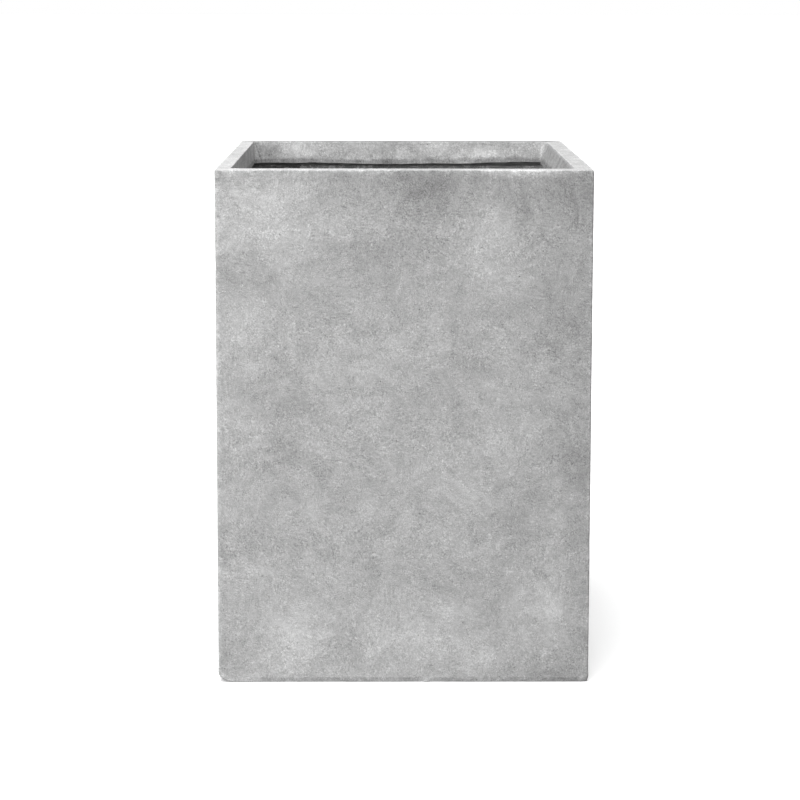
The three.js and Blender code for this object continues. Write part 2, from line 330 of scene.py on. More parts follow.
def coat_rows(stations):
    """Rings of the coat's section: up the outside, over the rim, down the lip and back inside. With them
    come their wear, which is 1 on the edges that get knocked and also paints a highlight on the rim's and
    mouth's arrises, how far down the lip they are, from 0 to 1, and whether they are on top of the rim."""
    at = stations.foot
    rows, wear, lip, rim = [], [], [], []

    def add(ring, worn, down=0.0, top=0.0):
        rows.append(ring)
        wear.append(np.broadcast_to(worn, (stations.count,)))
        lip.append(np.full(stations.count, down))
        rim.append(np.full(stations.count, top))

    lift, bevel_high, bevel_deep = coat_foot(stations)
    rough = 1 - 0.85 * smooth(WIDTH / 2 - 12, WIDTH / 2 - 4, at[:, 1])  # the back's edges are crisper
    rim_round = 1.4 + (0.5 * noise(at, 30, 21) + 0.35 * noise(at, 9, 22)) * rough
    rim_round = np.clip(rim_round + rough * chips(stations, 54, 23, (2.5, 7.0), (0.4, 1.8)), 0.7, 3.6)
    mouth_round = np.clip(0.9 + 0.4 * rough * noise(at, 22, 24), 0.6, 1.4)
    edge = lip_edge(stations)

    add(stations.ring(COAT, lift + 0.3, outer_radii(COAT)), 0.3)
    for share in (0.0, 0.12, 0.5, 0.88, 1.0):
        z = lift + bevel_high * share
        add(stations.ring(bevel_deep * (1 - share), z, outer_radii()), 0.9 if share > 0.4 else 0.5)

    low, high = lift + bevel_high, HEIGHT - rim_round
    for share in ease_rows(HEIGHT, 1.3, 1.5, 12.0)[1:]:
        z = low + (high - low) * share
        radii = outer_radii()
        plain = stations.ring(0.0, z, radii)
        hollow = 0.30 * raised(plain, 130, 31) + 0.16 * raised(plain, 48, 32)
        hollow = hollow * smooth(0, 25, z) * smooth(0, 25, HEIGHT - z)
        nick = 0.5 * smooth(0.55, 0.95, noise(plain, 7, 33)) * (stations.along == 0)
        ends = np.exp(-(z / 5) ** 2) + np.exp(-((HEIGHT - z) / 5) ** 2)
        upright = np.where(stations.along == 0, 0.8, 0.0)
        add(stations.ring(hollow + nick, z, radii), np.maximum(ends, upright))

    for i in range(1, 7):
        turn = i / 6 * math.pi / 2
        inset = rim_round * (1 - math.cos(turn))
        z = HEIGHT - rim_round * (1 - math.sin(turn))
        add(stations.ring(inset, z, outer_radii()), 1.0, 0.0, i / 6)
    for share in (0.1, 0.28, 0.46, 0.64, 0.82, 0.95):
        inset = rim_round + (RIM_WIDTH - mouth_round - rim_round) * share
        radii = outer_radii() * (1 - share) + mouth_radii(0, 0.6) * share
        plain = stations.ring(inset, HEIGHT, radii, MOUTH_SHIFT * share, np.multiply(MOUTH_FLAT, share))
        dent = 0.22 * raised(plain, 38, 41) + 0.10 * raised(plain, 11, 42)
        plain[:, 2] -= dent * rough * math.sin(share * math.pi)
        add(plain, 0.25, 0.0, 1.0)
    for i in range(0, 6):
        turn = i / 5 * math.pi / 2
        z = HEIGHT - mouth_round * (1 - math.cos(turn))
        inset = lip_inset(z) - mouth_round * (1 - math.sin(turn))
        ring = stations.ring(inset, z, mouth_radii(0, 0.3), mouth_shift(z), MOUTH_FLAT)
        add(ring, 1.0, 0.0, 1 - i / 5)

    top = HEIGHT - mouth_round
    for share in (0.08, 0.18, 0.3, 0.42, 0.54, 0.66, 0.78, 0.88, 0.95, 1.0):
        z = top + (edge - top) * share
        radii = mouth_radii(share)
        plain = stations.ring(lip_inset(z), z, radii, mouth_shift(z))
        hollow = 0.5 * noise(plain, 42, 51) + 0.3 * noise(plain, 13, 52) + 0.2 * noise(plain, 6, 53)
        inset = lip_inset(z) + hollow * math.sin(share * math.pi / 2) * 0.9
        ring = stations.ring(inset, z, radii, mouth_shift(z), MOUTH_FLAT)
        add(ring, 0.6 * smooth(0.8, 1.0, share), share)
    for share in (0.35, 0.75, 1.0):
        z = edge + 0.5 * share + 0.25 * noise(at, 5, 54)
        radii = mouth_radii(1, COAT * share)
        add(stations.ring(lip_inset(z) - COAT * share, z, radii, mouth_shift(z), MOUTH_FLAT), 0.3, 1.0)
    for z in (HEIGHT - 12.0, WALL_TOP):
        radii = mouth_radii((HEIGHT - z) / LIP_DEPTH, COAT)
        add(stations.ring(lip_inset(z) - COAT, z, radii, mouth_shift(z), MOUTH_FLAT), 0.0)
    for z in (WALL_TOP, HEIGHT / 2, 14.0):
        add(stations.ring(COAT, z, outer_radii(COAT)), 0.0)
    low, high = (np.array(corner) / MM for corner in cad_box)
    points = np.clip(wear_corner(np.array(rows)), low + 0.002, high - 0.002)
    return points, np.array(wear), np.array(lip), np.array(rim)


def brush_lines_and_shade(stations):
    """How pale or dark random brush lines make each station of the mouth's back corners. The filled
    corner at the left is darker as a whole and has dark arrises: painted shade of its facet and of the
    creases at its edges."""
    rng = np.random.default_rng(61)
    lines = np.zeros(stations.count)
    for corner, whole, painted_arris_shade in ((BACK_RIGHT, 0.0, 0.0), (BACK_LEFT, -0.3, -1.0)):
        first = np.flatnonzero(stations.corner == corner)[0]
        last = first + CORNER_STEPS
        lines[first : last + 1] = whole + rng.uniform(-0.3, 0.3, CORNER_STEPS + 1)
        lines[[first, last]] += painted_arris_shade
    return lines


def build_coat():
    stations = Stations(SIDE_STEP)
    rows, wear, lip, rim = coat_rows(stations)
    faces = closed_both_ways(*rows.shape[:2])
    brush = smooth(0.0, 0.1, lip) * brush_lines_and_shade(stations)
    attributes = [("wear", wear), ("lip", lip), ("rim", rim), ("brush", brush)]
    attributes = [(name, "FLOAT", values) for name, values in attributes]
    made = make_mesh("coat_shell", rows.reshape(-1, 3), faces, attributes)
    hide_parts("facing_coat")
    return made


# ---------------------------------------------------------------- laminate


def lap(along, z, level, seed):
    """1 above the ragged edge where one sheet of mat overlaps the next."""
    line = np.stack([along, along * 0, along * 0 + level], axis=-1)
    ragged = level + 7 * noise(line, 60, seed) + 2.5 * noise(line, 12, seed + 1)
    return smooth(-2.5, 2.5, z - ragged)


def relief(points, along, seed):
    """How far the rolled-out laminate stands in from its nominal face."""
    z = points[..., 2]
    lumps = 0.34 * noise(points, 34, seed) + 0.26 * noise(points, 13, seed + 1)
    laps = 0.35 * lap(along, z, 205, seed + 2) - 0.35 * lap(along, z, 412, seed + 4)
    return np.clip(lumps + laps - 0.25, -0.9, 0.25)


def lay(across, up, offset):
    """Coordinates of a laminate in its own plane, in metres, which its glass strands follow."""
    return np.stack([across + offset, up, across * 0 + offset], axis=-1) * MM


def build_wall(name, node, turn, cross, seed):
    """One wall's laminate. turn takes the back wall to this one, and cross walls run the full width."""
    heights = np.concatenate([[0.0, 2.0], np.arange(6.0, WALL_TOP - 2, 5.0), [WALL_TOP]])
    shares = np.linspace(-1, 1, 90)
    z, share = np.meshgrid(heights, shares, indexing="ij")
    c, s = round(math.cos(turn)), round(math.sin(turn))
    spin = np.array([[c, s, 0], [-s, c, 0], [0, 0, 1]], float)
    half = WIDTH / 2 - DRAFT * z / HEIGHT
    reach = half - (WALL_FACE if cross else INSIDE_WALL)
    x = -share * reach
    inner = np.stack([x, half - WALL_BACK, z], axis=-1)
    bulge = relief(inner, x + 500 * seed, seed)
    fade = smooth(0, 6, z)
    inner[..., 1] -= bulge * fade
    outer = np.stack([np.clip(x, -half + 3.6, half - 3.6) if cross else x, half - WALL_FACE, z], axis=-1)
    # The columns run towards -x, so that the inner face of the back wall looks towards -Y
    inner, outer = inner[:, ::-1], outer[:, ::-1]
    across = x[:, ::-1]
    points, faces = slab(inner, outer)
    points = wear_corner(points @ spin)
    plane = lay(across, z, 700.0 * seed).reshape(-1, 3)
    made = make_mesh(name, points, faces, [("lay", "FLOAT_VECTOR", np.concatenate([plane, plane]))])
    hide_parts(node)
    return made


def build_strip(name, node, corner, seed):
    """Mat over one inside corner, with feathered, ragged edges."""
    heights = np.concatenate([[COVE_TOP], np.arange(COVE_TOP + 4, CORE_BOTTOM - 3, 4.5), [CORE_BOTTOM]])
    bend = STRIP + STRIP_FILLET
    turns = np.linspace(0, math.pi / 2, 9)
    legs = np.array([0, 1.2, 3, 5.5, 9, 14, 20, 27, 35, 43])  # from the end of a leg
    inner_rows, outer_rows, plane_rows = [], [], []
    for z in heights:
        ends = [
            STRIP_LEG - 3.2 - 2.6 * noise([z, 90.0 * seed, k * 40.0], 22, 61)
            - 0.9 * noise([z, 90.0 * seed, k * 40.0], 6, 62) for k in (0, 1)
        ]
        half = WIDTH / 2 - DRAFT * z / HEIGHT - INSIDE_WALL
        first = ends[0] - legs * (ends[0] - bend) / legs[-1] / 1.06
        second = ends[1] - legs * (ends[1] - bend) / legs[-1] / 1.06
        thick = STRIP * (0.25 + 0.75 * smooth(0, 7, legs))
        a = np.concatenate([first, bend - STRIP_FILLET * np.sin(turns), thick[::-1]])
        b = np.concatenate([thick, bend - STRIP_FILLET * np.cos(turns), second[::-1]])
        at = np.stack([a, b, a * 0 + z], axis=-1)
        swell = 0.18 * noise(at, 17, seed + 63) + 0.12 * noise(at, 7, seed + 64)
        lean = np.concatenate([np.zeros(len(legs)), turns / (math.pi / 2), np.ones(len(legs))])
        a_in = a + swell * np.sin(lean * math.pi / 2)
        b_in = b + swell * np.cos(lean * math.pi / 2)
        # Behind the bend the strip's back runs into the square corner and out again
        a_out = np.concatenate([first, np.maximum(bend * (1 - turns / (math.pi / 4)), 0), thick[::-1] * 0])
        b_out = np.concatenate([thick * 0, np.maximum(bend * (turns / (math.pi / 4) - 1), 0), second[::-1]])
        level = np.full(len(a), z)
        sx, sy = CORNERS[corner]
        inner_rows.append(np.stack([sx * (half - a_in), sy * (half - b_in), level], axis=-1))
        outer_rows.append(np.stack([sx * (half - a_out), sy * (half - b_out), level], axis=-1))
        plane_rows.append(np.stack([b - a, level], axis=-1))
    inner, outer, plane = map(np.array, (inner_rows, outer_rows, plane_rows))
    if CORNERS[corner].prod() < 0:
        inner, outer, plane = inner[:, ::-1], outer[:, ::-1], plane[:, ::-1]
    points, faces = slab(inner, outer)
    flat = lay(plane[..., 0], plane[..., 1], 900.0 + 300.0 * seed).reshape(-1, 3)
    made = make_mesh(name, points, faces, [("lay", "FLOAT_VECTOR", np.concatenate([flat, flat]))])
    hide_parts(node)
    return made


def build_floor_panel():
    """The laminate floor, as rings that change from the drain hole's circle to the walls' square."""
    stations = Stations(7.0)
    half = WIDTH / 2 - DRAFT * FLOOR_TOP / HEIGHT - INSIDE_WALL
    square = stations.ring(INSIDE_WALL, FLOOR_TOP, (1.0,) * 4)[:, :2]
    square = np.clip(square, -half, half)
    bearing = np.arctan2(square[:, 1], square[:, 0])
    circle = DRAIN_BORE / 2 * np.stack([np.cos(bearing), np.sin(bearing)], axis=1)
    shares = np.concatenate([[0, 0.004, 0.012], np.linspace(0.03, 1, 34)])
    top, bottom = [], []
    for share in shares:
        roundness = (1 - share) ** 3
        disc = np.stack([np.cos(bearing), np.sin(bearing)], axis=1) * (
            DRAIN_BORE / 2 + share * (np.linalg.norm(square, axis=1, keepdims=True) - DRAIN_BORE / 2)
        )
        plain = circle + (square - circle) * share
        xy = disc * roundness + plain * (1 - roundness)
        at = np.column_stack([xy, xy[:, 0] * 0])
        away = np.linalg.norm(xy, axis=1)
        flat = smooth(19.5, 34, away)
        sunk = (0.28 * raised(at, 40, 71) + 0.22 * raised(at, 13, 72)) * flat
        low = (0.35 * raised(at, 30, 73) + 0.3 * raised(at, 10, 74)) * smooth(13, 20, away)
        top.append(np.column_stack([xy, FLOOR_TOP - sunk]))
        bottom.append(np.column_stack([xy, FLOOR_BOTTOM + low]))
    top, bottom = np.array(top), np.array(bottom)
    # Rows run outward, so the columns are reversed to keep the top looking up
    top, bottom = top[:, ::-1], bottom[:, ::-1]
    points, faces = slab(top, bottom, round_trip=True)
    flat = lay(points[:, 0], points[:, 1], 5200.0)
    made = make_mesh("floor_laminate", points, faces, [("lay", "FLOAT_VECTOR", flat)])
    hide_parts("base_panel")
    return made


# ---------------------------------------------------------------- filled resin


def build_core():
    """The rim's filling, with the lumpy underside that its resin sagged into."""
    stations = Stations(5.0)
    rows = []

    tight = (1.0,) * 4
    tip = lip_inset(CORE_END) - COAT - SKIN_GAP
    seat = INSIDE_WALL + CORE_SEAT
    for z in (CORE_BOTTOM, CORE_BOTTOM + 10, WALL_TOP - SKIN_GAP):
        rows.append(stations.ring(INSIDE_WALL, z, tight))
    for z in (WALL_TOP - SKIN_GAP, CORE_END + 6, CORE_END):
        lip_radii = mouth_radii((HEIGHT - z) / LIP_DEPTH, COAT + SKIN_GAP)
        inset = lip_inset(z) - COAT - SKIN_GAP
        rows.append(stations.ring(inset, z, lip_radii, mouth_shift(z), MOUTH_FLAT))
    for reach in np.linspace(0.93, 0, 13):
        share = reach**1.6
        inset = seat + (tip - seat) * reach
        z = CORE_BOTTOM + (CORE_END - CORE_BOTTOM) * share
        radii = 1.0 + (lip_radii - 1.0) * reach
        plain = stations.ring(inset, z, radii, mouth_shift(CORE_END) * reach, np.multiply(MOUTH_FLAT, reach))
        lumps = 1.0 * raised(plain, 16, 81) + 0.7 * raised(plain, 6, 82)
        plain[:, 2] += lumps * math.sin(min(reach * 3, 1) * math.pi / 2)
        rows.append(plain)
    rows = np.array(rows)
    made = make_mesh("rim_filling", rows.reshape(-1, 3), closed_both_ways(*rows.shape[:2]))
    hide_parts("rim_core")
    return made


def build_cove():
    """The resin fillet round the floor, wiped with a finger."""
    stations = Stations(4.5)
    tight, round_in = (1.0,) * 4, np.full(4, STRIP_FILLET)
    rows = [stations.ring(INSIDE_WALL, z, tight) for z in (FLOOR_TOP, FLOOR_TOP + 7, COVE_TOP)]
    rise, run = COVE_LEG - COVE_TOE, COVE_LEG - STRIP
    for i in range(0, 15):
        turn = i / 14 * math.pi / 2
        inset = INSIDE_WALL + STRIP + run * (1 - math.cos(turn))
        z = COVE_TOP - rise * math.sin(turn)
        plain = stations.ring(inset, z, round_in)
        wiped = 0.45 * noise(plain, 28, 91) + 0.3 * noise(plain, 10, 92)
        amount = math.sin(2 * turn)
        rows.append(stations.ring(inset - 0.5 * amount + wiped * amount, z, round_in))
    toe = 0.7 * noise(stations.foot, 14, 93)
    rows.append(stations.ring(INSIDE_WALL + COVE_LEG - 0.7 + toe, FLOOR_TOP, round_in))
    rows = np.array(rows)
    made = make_mesh("cove_fillet", rows.reshape(-1, 3), closed_both_ways(*rows.shape[:2]))
    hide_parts("base_cove")
    return made


# ---------------------------------------------------------------- plug


def build_plug():
    """The rubber stopper, turned from a profile of radius and height."""
    low, high = (corner.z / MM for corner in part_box("drain_plug"))
    seat = FLOOR_TOP
    profile = [
        (0, low + 0.6), (6.5, low + 0.6), (7.3, low + 0.2), (8.3, low), (10.4, low), (11.2, low + 0.3),
        (11.6, low + 1.1), (11.8, low + 3), (12.0, low + 6), (12.35, low + 6.5), (12.4, low + 7.1),
        (12.1, low + 7.7), (12.5, seat - 1.0), (12.9, seat - 0.3), (13.6, seat), (18.2, seat),
        (18.8, seat + 0.3), (19.0, seat + 1.1), (18.9, seat + 1.9), (18.4, seat + 2.5),
        (17.6, seat + 2.9), (15.6, seat + 3.0), (15.2, seat + 2.65), (14.3, seat + 2.6),
        (13.9, seat + 2.95), (8.2, seat + 3.0), (6.4, seat + 3.3), (5.2, seat + 4.1),
        (4.6, seat + 5.3), (4.5, seat + 6.6), (4.8, seat + 7.5), (5.6, seat + 8.3),
        (6.3, seat + 9.0), (6.5, seat + 9.8), (6.3, seat + 10.7), (5.7, seat + 11.4),
        (4.8, high - 0.15), (3.6, high - 0.05), (3.0, high - 0.35), (1.6, high - 0.6), (0, high - 0.65),
    ]
    segments = 72
    turn = np.arange(segments) / segments * 2 * math.pi
    rings = [
        np.column_stack([r * np.cos(turn), r * np.sin(turn), np.full(segments, z)])
        for r, z in profile[1:-1]
    ]
    points = np.concatenate([*rings, [[0, 0, profile[0][1]], [0, 0, profile[-1][1]]]])
    faces = []
    for row in range(len(rings) - 1):
        for k in range(segments):
            n = (k + 1) % segments
            a, b = row * segments, (row + 1) * segments
            faces.append([a + k, a + n, b + n, b + k])
    bottom, top, last = len(points) - 2, len(points) - 1, (len(rings) - 1) * segments
    for k in range(segments):
        n = (k + 1) % segments
        faces.append([bottom, n, k])
        faces.append([top, last + k, last + n])
    made = make_mesh("rubber_plug", points, faces)
    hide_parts("drain_plug")
    return made


# ---------------------------------------------------------------- materials


class Graph:
    """A material's node tree, with short ways to add what it needs."""

    def __init__(self, name):
        self.material = bpy.data.materials.new(name)
        self.material.use_nodes = True
        self.tree = self.material.node_tree
        self.shader = self.tree.nodes["Principled BSDF"]
        self.place = self.node("ShaderNodeTexCoord").outputs["Object"]

    def node(self, kind, inputs=(), **settings):
        made = self.tree.nodes.new(kind)
        for key, value in settings.items():
            setattr(made, key, value)
        for key, value in dict(inputs).items():
            self.feed(made.inputs[key], value)
        return made

    def feed(self, socket, value):
        if isinstance(value, bpy.types.NodeSocket):
            self.tree.links.new(value, socket)
        else:
            socket.default_value = value

    def math(self, operation, a, b=0.0, c=0.0):
        return self.node("ShaderNodeMath", {0: a, 1: b, 2: c}, operation=operation).outputs[0]

    def vector(self, operation, a, b=(0, 0, 0)):
        made = self.node("ShaderNodeVectorMath", {0: a, 1: b}, operation=operation)
        return made.outputs["Value" if operation in ("LENGTH", "DOT_PRODUCT") else "Vector"]

    def total(self, first, *more):
        for value in more:
            first = self.math("ADD", first, value)
        return first

    def noise(self, size, detail=2.0, roughness=0.5, seed=0, place=None, stretch=(1, 1, 1), output=0):
        """Noise with lumps about size millimetres across, from 0 to 1."""
        scale = [1 / (size * MM * s) for s in stretch]
        apart = (seed * 7.31, seed * 3.17, seed * 5.93)
        inputs = {"Vector": place or self.place, "Scale": scale, "Location": apart}
        moved = self.node("ShaderNodeMapping", inputs).outputs[0]
        made = self.node(
            "ShaderNodeTexNoise", {"Vector": moved, "Scale": 1.0, "Detail": detail, "Roughness": roughness}
        )
        return made.outputs[output]

    def remap(self, value, low, high, to_low=0.0, to_high=1.0, eased=True):
        made = self.node(
            "ShaderNodeMapRange",
            {"Value": value, "From Min": low, "From Max": high, "To Min": to_low, "To Max": to_high},
            interpolation_type="SMOOTHSTEP" if eased else "LINEAR",
        )
        return made.outputs[0]

    def swing(self, value, amount):
        """Turns 0 to 1 noise into plus or minus half the amount."""
        return self.math("MULTIPLY_ADD", value, amount, -0.5 * amount)

    def patch(self, place, centre, reach, amount):
        """A soft-edged patch: amount at centre, nothing beyond reach. Both are in millimetres."""
        away = self.vector("SUBTRACT", place, [c * MM for c in centre])
        away = self.vector("MULTIPLY", away, [1 / (r * MM) for r in reach])
        return self.remap(self.vector("LENGTH", away), 0.0, 1.0, amount, 0.0)

    def grey(self, tone):
        """The colour of a display tone from 0 to 1."""
        light = self.math("POWER", tone, 2.2)
        made = self.node("ShaderNodeCombineColor", {"Red": light, "Green": light, "Blue": light})
        return made.outputs[0]

    def bump(self, height, distance, strength=1.0, after=None):
        """distance is in millimetres for a height change of 1."""
        inputs = {"Height": height, "Distance": distance * MM, "Strength": strength}
        if after is not None:
            inputs["Normal"] = after
        return self.node("ShaderNodeBump", inputs).outputs[0]


LEVEL = 1 / 255

# Soft clouds of the cement wash, partly painted light and shade: centre and reach in millimetres, and how
# many tone levels they add
WASH_CLOUDS_AND_PAINTED_LIGHT = [
    # the front: pale at its top left and along its foot, dark along its top and down its right side; the
    # pale foot and the dark right side are painted light and shade
    ((-165, -222, 575), (90, 60, 75), 21),
    ((-110, -222, 540), (70, 60, 60), 8),
    ((95, -222, 525), (75, 60, 80), 14),
    ((-200, -222, 440), (60, 60, 65), 8),
    ((-80, -222, 390), (80, 60, 45), 6),
    ((90, -222, 300), (65, 60, 70), 5),
    ((-195, -222, 120), (45, 60, 40), 8),
    ((-135, -222, 60), (80, 60, 65), 18),
    ((45, -222, 60), (120, 60, 65), 16),
    ((180, -222, 85), (70, 60, 50), 18),
    ((20, -222, 600), (80, 60, 50), -26),
    ((170, -222, 595), (120, 60, 45), -15),
    ((-80, -222, 610), (90, 60, 30), -8),
    ((205, -222, 560), (45, 60, 45), -7),
    ((-40, -222, 520), (60, 60, 50), -10),
    ((25, -222, 540), (50, 60, 40), -6),
    ((-185, -222, 495), (60, 60, 40), -14),
    ((-10, -222, 440), (40, 60, 40), -8),
    ((180, -222, 450), (75, 60, 70), -15),
    ((-125, -222, 340), (80, 60, 40), -9),
    ((-145, -222, 280), (40, 60, 45), -7),
    ((200, -222, 280), (55, 60, 90), -9),
    ((120, -222, 210), (85, 60, 60), -8),
    ((-185, -222, 180), (60, 60, 40), -8),
    ((180, -222, 12), (80, 60, 35), -24),
    # the other faces, of the same kind
    ((-222, 120, 555), (60, 80, 60), 14),
    ((-222, -60, 465), (60, 110, 70), -11),
    ((-222, 60, 300), (60, 120, 60), 9),
    ((-222, -130, 180), (60, 70, 60), -10),
    ((-222, 30, 40), (60, 150, 50), 12),
    ((222, -110, 550), (60, 80, 60), -13),
    ((222, 70, 515), (60, 90, 70), 13),
    ((222, 10, 330), (60, 120, 60), -9),
    ((222, 140, 160), (60, 70, 80), 10),
    ((222, -90, 50), (60, 110, 50), 12),
    ((-120, 222, 555), (90, 60, 60), -14),
    ((80, 222, 505), (110, 60, 70), 13),
    ((-60, 222, 340), (110, 60, 60), -9),
    ((160, 222, 250), (60, 60, 90), -10),
    ((-130, 222, 110), (90, 60, 70), 12),
    ((90, 222, 40), (120, 60, 45), 11),
]

# The same for small patches with ragged edges: brushed ones on the lip, and chips on the arrises
PATCHES = [
    ((-145, 198, 606), (36, 12, 16), 24),
    ((-180, 198, 606), (28, 12, 14), -10),
    ((-30, 198, 608), (24, 12, 14), -12),
    ((50, 198, 613), (26, 12, 12), 12),
    ((115, 198, 606), (40, 12, 15), 26),
    ((-200, 165, 606), (12, 45, 26), 14),
    ((-150, 207, 620), (70, 12, 8), 26),
    ((140, -222, 617), (62, 14, 8), 34),
    ((-27, -222, 618), (22, 14, 6), 26),
    ((-220, -222, 8), (7, 12, 6), 26),
    ((-213, -222, 3), (6, 12, 5), 20),
    ((216, -222, 5), (7, 12, 5), 38),
    ((34, -222, 2), (6, 12, 4), 18),
]
COAT_TONE = 0.715

# Painted light and shade: how many levels the rim and the lip are made paler or darker on each side, for how
# light falls on each side, and on the front rim painted sheen over paler rubbed cement: front, right, back,
# left
RIM_PAINTED_LIGHT = (19, 13, -36, 15)
LIP_PAINTED_LIGHT = (0, -9, 9, 8)


def by_side(g, levels):
    """The value for the side of the square that a place is nearest to."""
    x, y, _ = g.node("ShaderNodeSeparateXYZ", {"Vector": g.place}).outputs
    edge = 0.005
    right = g.remap(g.math("SUBTRACT", x, g.math("ABSOLUTE", y)), -edge, edge)
    back = g.remap(g.math("SUBTRACT", y, g.math("ABSOLUTE", x)), -edge, edge)
    left = g.remap(g.math("ADD", x, g.math("ABSOLUTE", y)), -edge, edge, 1.0, 0.0)
    value = levels[0] * LEVEL
    for part, level in ((right, levels[1]), (back, levels[2]), (left, levels[3])):
        value = g.math("MULTIPLY_ADD", part, (level - levels[0]) * LEVEL, value)
    return value


def short_strokes(g, size, seed):
    """Short trowel strokes that lie level, upright or aslant, one way in each region."""
    level = g.noise(size, 2, 0.6, seed=seed, stretch=(3.2, 3.2, 1))
    upright = g.noise(size, 2, 0.6, seed=seed + 1, stretch=(1, 1, 3.2))
    turned = g.node(
        "ShaderNodeVectorRotate",
        {"Vector": g.place, "Axis": (-1, 1, 0), "Angle": 0.85},
        rotation_type="AXIS_ANGLE",
    ).outputs[0]
    aslant = g.noise(size, 2, 0.6, seed=seed + 2, place=turned, stretch=(1, 1, 3.6))
    for other, region in ((upright, seed + 3), (aslant, seed + 4)):
        share = g.remap(g.noise(48, 2, 0.6, seed=region), 0.49, 0.55)
        level = g.math("MULTIPLY_ADD", g.math("SUBTRACT", other, level), share, level)
    return level


def coat_material():
    """The grey cement wash: clouds, trowel strokes and grit, with a brushed lip and rubbed edges."""
    g = Graph("mineral_coat")
    half = (0.5, 0.5, 0.5)
    sweep = g.vector("SUBTRACT", g.noise(110, 2, 0.5, seed=1, output="Color"), half)
    drawn = g.vector("ADD", g.place, g.vector("MULTIPLY", sweep, (0.1, 0.1, 0.1)))
    fray = g.vector("SUBTRACT", g.noise(26, 4, 0.7, seed=13, output="Color"), half)
    frayed = g.vector("ADD", g.place, g.vector("MULTIPLY", fray, (0.045, 0.0, 0.045)))
    frayed = g.vector("ADD", frayed, g.vector("MULTIPLY", sweep, (0.03, 0.0, 0.03)))
    ragged = g.vector("SUBTRACT", g.noise(7, 3, 0.7, seed=17, output="Color"), half)
    ragged = g.vector("ADD", g.place, g.vector("MULTIPLY", ragged, (0.03, 0.0, 0.016)))
    x, _, z = g.node("ShaderNodeSeparateXYZ", {"Vector": g.place}).outputs
    # Painted light and shade: the wash is made paler towards the foot and darker towards the top, and darker
    # towards the right edge and over the right side
    painted_light_by_height = g.remap(z, 0.0, 0.62, 0.012, -0.02, eased=False)
    tone = g.total(COAT_TONE, painted_light_by_height, g.remap(x, 0.15, 0.224, 0, -0.024))
    for place, marks in ((frayed, WASH_CLOUDS_AND_PAINTED_LIGHT), (ragged, PATCHES)):
        for centre, reach, levels in marks:
            tone = g.math("ADD", tone, g.patch(place, centre, reach, levels * LEVEL))
    broad = g.noise(150, 3, 0.6, seed=2)
    mottle = g.noise(40, 5, 0.7, seed=3, place=drawn)
    trowel = g.noise(15, 4, 0.7, seed=4, place=drawn, stretch=(1.9, 1.9, 1.0))
    flake = g.remap(g.noise(15, 5, 0.75, seed=14, place=drawn), 0.49, 0.54)
    curl = g.math("ABSOLUTE", g.math("SUBTRACT", g.noise(5.2, 2, 0.6, seed=8), 0.5))
    curl = g.remap(curl, 0.0, 0.05, 1.0, 0.0)
    strokes = short_strokes(g, 2.1, 70)
    grain = g.noise(2.3, 2, 0.65, seed=5)
    speck = g.noise(1.25, 0.0, 0.5, seed=6)
    # The grain shows most where the wash is thin
    thin = g.remap(g.noise(12, 4, 0.7, seed=9, place=drawn), 0.44, 0.56, 0.68, 1.18)
    gritty = g.total(
        g.swing(strokes, 0.24), g.swing(grain, 0.16), g.swing(speck, 0.235), g.swing(curl, 0.035)
    )
    tone = g.total(
        tone,
        g.swing(broad, 0.11),
        g.swing(mottle, 0.22),
        g.swing(trowel, 0.14),
        g.swing(flake, 0.022),
        g.math("MULTIPLY", gritty, thin),
    )
    # The lip is brushed, and has a rough, darker margin; above it, on the right part, a soft dark line is
    # painted as the shade of a crease
    lip = g.node("ShaderNodeAttribute", attribute_name="lip").outputs["Fac"]
    margin = g.math("ADD", lip, g.swing(g.noise(20, 4, 0.7, seed=10), 0.32))
    painted_crease_shade = g.math("ABSOLUTE", g.math("SUBTRACT", margin, 0.76))
    painted_crease_shade = g.math("MULTIPLY", g.remap(painted_crease_shade, 0.0, 0.06, 1, 0), g.remap(x, 0.0, 0.08, 0.0, 0.07))
    blotch = g.swing(g.noise(13, 5, 0.75, seed=11, stretch=(1.5, 1.5, 1)), 0.4)
    brushed = g.swing(g.noise(3.2, 2, 0.6, seed=12, stretch=(1, 1, 7)), 0.1)
    shade = g.math("ADD", g.remap(margin, 0.74, 0.86, 0.0, 0.15), painted_crease_shade)
    # Each side of the lip gets its painted light and shade
    lip_tone = g.math("SUBTRACT", g.total(blotch, brushed, by_side(g, LIP_PAINTED_LIGHT)), shade)
    tone = g.math("ADD", tone, g.math("MULTIPLY", g.remap(lip, 0.02, 0.12), lip_tone))
    # Brush lines on the mouth's back corners, with painted shade on the filled corner at the left
    brush = g.node("ShaderNodeAttribute", attribute_name="brush").outputs["Fac"]
    tone = g.math("ADD", tone, g.math("MULTIPLY", brush, 0.13))
    # The rim's top and edges get each side's painted light and shade
    rim = g.node("ShaderNodeAttribute", attribute_name="rim").outputs["Fac"]
    tone = g.math("ADD", tone, g.math("MULTIPLY", rim, by_side(g, RIM_PAINTED_LIGHT)))
    # Rubbed edges show paler cement, in patches; on the arrises of the rim and the mouth this is also a
    # painted highlight
    wear = g.node("ShaderNodeAttribute", attribute_name="wear").outputs["Fac"]
    patchy = g.remap(g.noise(9, 3, 0.65, seed=7), 0.42, 0.62)
    rubbed_and_highlight = g.math("MULTIPLY", wear, patchy)
    tone = g.math("ADD", tone, g.math("MULTIPLY", rubbed_and_highlight, 0.085))
